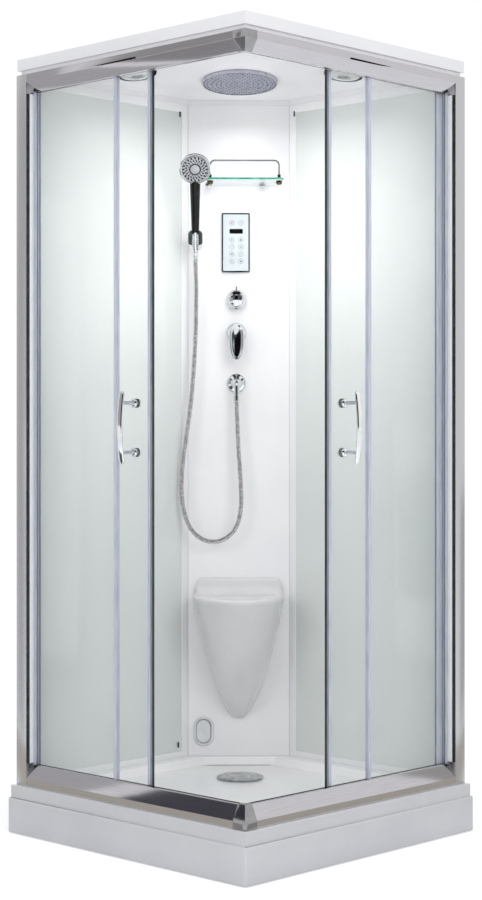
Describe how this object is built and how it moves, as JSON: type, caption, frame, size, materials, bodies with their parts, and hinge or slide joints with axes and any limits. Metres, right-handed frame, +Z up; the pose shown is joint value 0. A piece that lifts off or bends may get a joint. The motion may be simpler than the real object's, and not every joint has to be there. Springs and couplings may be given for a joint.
{
  "type": "steam shower cabin",
  "caption": "Square corner steam shower cabin with sliding glass doors, tray, roof and a rear column carrying shower, mixer, shelf, control panel and seat.",
  "frame": {"origin": "under the centre of the tray footprint, on the floor, at the foot of the middle levelling foot", "axes": "+Z up; the two sliding glass faces look along -Y and +X and meet at the front corner; the equipment column stands in the opposite corner"},
  "size_m": [0.9, 0.9, 2.1483],
  "materials": {
    "acrylic_white": "gloss",
    "steel_tube": "satin",
    "foot_plastic": "matte",
    "aluminium": "polished",
    "post_aluminium": "satin",
    "clear_glass": "polished",
    "white_glass": "polished",
    "clear_plastic": "gloss",
    "magnet_plastic": "satin",
    "nylon": "satin",
    "chrome": "polished",
    "panel_face": "gloss",
    "black_plastic": "satin",
    "grey_plastic": "satin",
    "hose_metal": "polished",
    "drain_plastic": "matte",
    "generator_case": "satin",
    "copper_pipe": "satin"
  },
  "bodies": {
    "cabin": {"bottom_rail_left": "aluminium", "bottom_rail_right": "aluminium", "ceiling_lamps": "clear_plastic", "column_panel": "acrylic_white", "control_panel": "panel_face", "corner_connectors": "chrome", "drain_trap": "drain_plastic", "fixed_glass_left": "clear_glass", "fixed_glass_right": "clear_glass", "glass_seals_left": "clear_plastic", "glass_seals_right": "clear_plastic", "holder_bracket": "chrome", "hose_lower": "hose_metal", "hose_outlet": "chrome", "leveling_feet": "foot_plastic", "rain_shower_head": "grey_plastic", "roof": "acrylic_white", "seat": "acrylic_white", "shelf_clamps": "chrome", "shelf_glass": "clear_glass", "shelf_rail": "chrome", "steam_generator": "generator_case", "steam_outlet": "acrylic_white", "supply_pipes": "copper_pipe", "top_rail_left": "aluminium", "top_rail_right": "aluminium", "tray": "acrylic_white", "tray_skirt": "acrylic_white", "tray_support_frame": "steel_tube", "valve_escutcheons": "chrome", "wall_frame_left": "acrylic_white", "wall_frame_right": "acrylic_white", "wall_panel_left": "white_glass", "wall_panel_right": "white_glass", "wall_post_left": "post_aluminium", "wall_post_right": "post_aluminium"},
    "door_left": {"door_glass_left": "clear_glass", "magnet_seal_left": "magnet_plastic", "trailing_profile_left": "clear_plastic", "door_hangers_left": "nylon", "handle_bar_left": "chrome", "handle_studs_left": "chrome"},
    "roller_left_front": {"top_roller_left_front": "nylon"},
    "roller_left_rear": {"top_roller_left_rear": "nylon"},
    "door_right": {"door_glass_right": "clear_glass", "magnet_seal_right": "magnet_plastic", "trailing_profile_right": "clear_plastic", "door_hangers_right": "nylon", "handle_bar_right": "chrome", "handle_studs_right": "chrome"},
    "roller_right_front": {"top_roller_right_front": "nylon"},
    "roller_right_rear": {"top_roller_right_rear": "nylon"},
    "diverter": {"diverter_knob": "chrome"},
    "mixer": {"mixer_dome": "chrome"},
    "lever": {"mixer_lever": "chrome"},
    "holder": {"holder_clip": "black_plastic"},
    "hand_shower": {"handset": "chrome", "hose_upper": "hose_metal"},
    "spray_dial": {"handset_spray_dial": "grey_plastic"},
    "drain_lid": {"drain_cover": "chrome"}
  },
  "joints": [
    {"name": "door_left_slide", "type": "slide", "parent": "cabin", "child": "door_left", "axis": [1, 0, 0], "range_m": [0, 0.3245]},
    {"name": "door_right_slide", "type": "slide", "parent": "cabin", "child": "door_right", "axis": [0, -1, 0], "range_m": [-0.025, 0.2975]},
    {"name": "roller_left_front_turn", "type": "hinge", "parent": "door_left", "child": "roller_left_front", "pos_m": [-0.012, -0.394, 2.0413], "axis": [0, 1, 0], "range_deg": [0, 1691.2]},
    {"name": "roller_left_rear_turn", "type": "hinge", "parent": "door_left", "child": "roller_left_rear", "pos_m": [-0.347, -0.394, 2.0413], "axis": [0, 1, 0], "range_deg": [0, 1691.2]},
    {"name": "roller_right_front_turn", "type": "hinge", "parent": "door_right", "child": "roller_right_front", "pos_m": [0.394, -0.015, 2.0413], "axis": [1, 0, 0], "range_deg": [-131.2, 1550.6]},
    {"name": "roller_right_rear_turn", "type": "hinge", "parent": "door_right", "child": "roller_right_rear", "pos_m": [0.394, 0.32, 2.0413], "axis": [1, 0, 0], "range_deg": [-131.2, 1550.6]},
    {"name": "diverter_turn", "type": "hinge", "parent": "cabin", "child": "diverter", "pos_m": [-0.30474, 0.29484, 1.483], "axis": [0.7071, -0.7071, 0], "range_deg": [-60, 60]},
    {"name": "mixer_turn", "type": "hinge", "parent": "cabin", "child": "mixer", "pos_m": [-0.30474, 0.29484, 1.384], "axis": [0.7071, -0.7071, 0], "range_deg": [-45, 45]},
    {"name": "mixer_lift", "type": "hinge", "parent": "mixer", "child": "lever", "pos_m": [-0.29378, 0.28388, 1.384], "axis": [-0.7071, -0.7071, 0], "range_deg": [0, 18]},
    {"name": "holder_tilt", "type": "hinge", "parent": "cabin", "child": "holder", "pos_m": [-0.37474, 0.19373, 1.65], "axis": [0.7071, 0.7071, 0], "range_deg": [0, 10], "deforming": ["hose_lower"]},
    {"name": "handset_lift", "type": "slide", "parent": "holder", "child": "hand_shower", "axis": [0.3265, -0.3265, 0.887], "range_m": [0, 0.03], "deforming": ["hose_upper"]},
    {"name": "spray_dial_turn", "type": "hinge", "parent": "hand_shower", "child": "spray_dial", "pos_m": [-0.27257, 0.09155, 1.84276], "axis": [0.6272, -0.6272, -0.4617], "range_deg": [0, 120]},
    {"name": "drain_cover_lift", "type": "slide", "parent": "cabin", "child": "drain_lid", "axis": [0, 0, 1], "range_m": [0, 0.025]}
  ],
  "couplings": [
    {"joint": "roller_left_front_turn", "follows": "door_left_slide", "rad_per_m": 90.909},
    {"joint": "roller_left_rear_turn", "follows": "door_left_slide", "rad_per_m": 90.909},
    {"joint": "roller_right_front_turn", "follows": "door_right_slide", "rad_per_m": 90.909},
    {"joint": "roller_right_rear_turn", "follows": "door_right_slide", "rad_per_m": 90.909}
  ]
}
